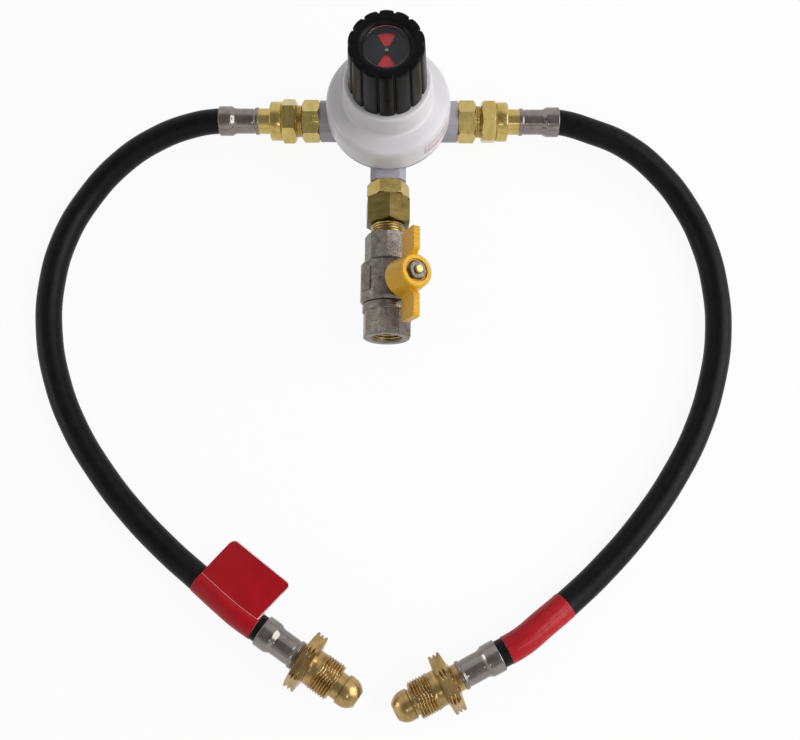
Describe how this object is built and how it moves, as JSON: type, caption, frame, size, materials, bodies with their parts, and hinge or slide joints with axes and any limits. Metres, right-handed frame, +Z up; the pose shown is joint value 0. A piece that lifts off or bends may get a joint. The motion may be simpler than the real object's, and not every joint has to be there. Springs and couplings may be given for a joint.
{
  "type": "changeover gas regulator kit",
  "caption": "Automatic changeover gas regulator with a rubber hose and hand-wheel cylinder fitting on each side and a quarter-turn ball valve on its outlet.",
  "frame": {"origin": "on the flat foot of the body casting, under the knob's axis", "axes": "+Z up along the knob's axis, +X along the right inlet, -Y along the gas outlet"},
  "size_m": [0.4473, 0.4177, 0.1155],
  "materials": {
    "zinc_casting": "fine cast, satin",
    "white_cover": "smooth, semi-gloss",
    "black_plastic": "satin moulded",
    "red_plastic": "satin",
    "clear_lens": "clear, polished",
    "brass": "turned, bright",
    "plated_steel": "zinc plated, satin",
    "nickel_plate": "nickel plated, satin with cast faces",
    "seal": "matt",
    "hose_rubber": "smooth, satin",
    "white_seal": "waxy, matt",
    "yellow_handle": "glossy enamel",
    "red_tag": "glossy film"
  },
  "bodies": {
    "regulator": {"body_casting": "zinc_casting", "cover": "white_cover", "diaphragm": "seal", "main_spring": "plated_steel", "spring_cup": "plated_steel", "nozzle_left": "brass", "nozzle_right": "brass", "lever_pin_left": "plated_steel", "lever_pin_right": "plated_steel", "adapter_left": "brass", "adapter_right": "brass", "union_nut_left": "brass", "union_nut_right": "brass", "inlet_tail_left": "brass", "inlet_tail_right": "brass", "inlet_ferrule_left": "plated_steel", "inlet_ferrule_right": "plated_steel", "hose_left": "hose_rubber", "hose_right": "hose_rubber", "end_ferrule_left": "plated_steel", "end_ferrule_right": "plated_steel", "cylinder_tail_left": "brass", "cylinder_tail_right": "brass", "tag_left": "red_tag", "tag_right": "red_tag", "outlet_adapter": "brass", "outlet_connector": "brass", "valve_body": "nickel_plate", "valve_end": "nickel_plate", "seat_upper": "white_seal", "seat_lower": "white_seal", "stem_packing": "white_seal"},
    "changeover_knob": {"knob": "black_plastic", "selector_shaft": "brass", "dial_mask": "black_plastic", "window_lens": "clear_lens", "indicator_pin": "plated_steel"},
    "indicator": {"indicator_vane": "red_plastic"},
    "diaphragm_unit": {"diaphragm_plate": "plated_steel", "diaphragm_stem": "brass"},
    "left_lever": {"lever_left": "brass", "seat_pad_left": "seal"},
    "right_lever": {"lever_right": "brass", "seat_pad_right": "seal"},
    "valve_spindle": {"valve_stem": "plated_steel", "valve_ball": "plated_steel", "valve_handle": "yellow_handle", "handle_nut": "plated_steel"},
    "left_hand_wheel": {"cylinder_nut_left": "brass"},
    "right_hand_wheel": {"cylinder_nut_right": "brass"}
  },
  "joints": [
    {"name": "changeover_turn", "type": "hinge", "parent": "regulator", "child": "changeover_knob", "pos_m": [0, 0, 0.09], "axis": [0, 0, 1], "range_deg": [-90, 90]},
    {"name": "indicator_turn", "type": "hinge", "parent": "changeover_knob", "child": "indicator", "pos_m": [0, 0, 0.107], "axis": [0, 0, 1], "range_deg": [0, 90]},
    {"name": "diaphragm_lift", "type": "slide", "parent": "regulator", "child": "diaphragm_unit", "axis": [0, 0, 1], "range_m": [0, 0.0012], "deforming": ["diaphragm", "main_spring"]},
    {"name": "left_lever_tilt", "type": "hinge", "parent": "regulator", "child": "left_lever", "pos_m": [-0.018, 0, 0.0145], "axis": [0, -1, 0], "range_deg": [0, 4.6]},
    {"name": "right_lever_tilt", "type": "hinge", "parent": "regulator", "child": "right_lever", "pos_m": [0.018, 0, 0.0145], "axis": [0, 1, 0], "range_deg": [0, 4.6]},
    {"name": "valve_quarter_turn", "type": "hinge", "parent": "regulator", "child": "valve_spindle", "pos_m": [0, -0.1158, 0.022], "axis": [0.4695, 0, 0.8829], "range_deg": [-90, 0]},
    {"name": "left_hand_wheel_turn", "type": "hinge", "parent": "regulator", "child": "left_hand_wheel", "pos_m": [-0.072, -0.327, 0.0185], "axis": [0.829, -0.5592, 0], "continuous": true},
    {"name": "right_hand_wheel_turn", "type": "hinge", "parent": "regulator", "child": "right_hand_wheel", "pos_m": [0.068, -0.34, 0.0185], "axis": [-0.8829, -0.4695, 0], "continuous": true}
  ],
  "couplings": [
    {"joint": "left_lever_tilt", "follows": "diaphragm_lift", "rad_per_m": 66.667},
    {"joint": "right_lever_tilt", "follows": "diaphragm_lift", "rad_per_m": 66.667}
  ]
}
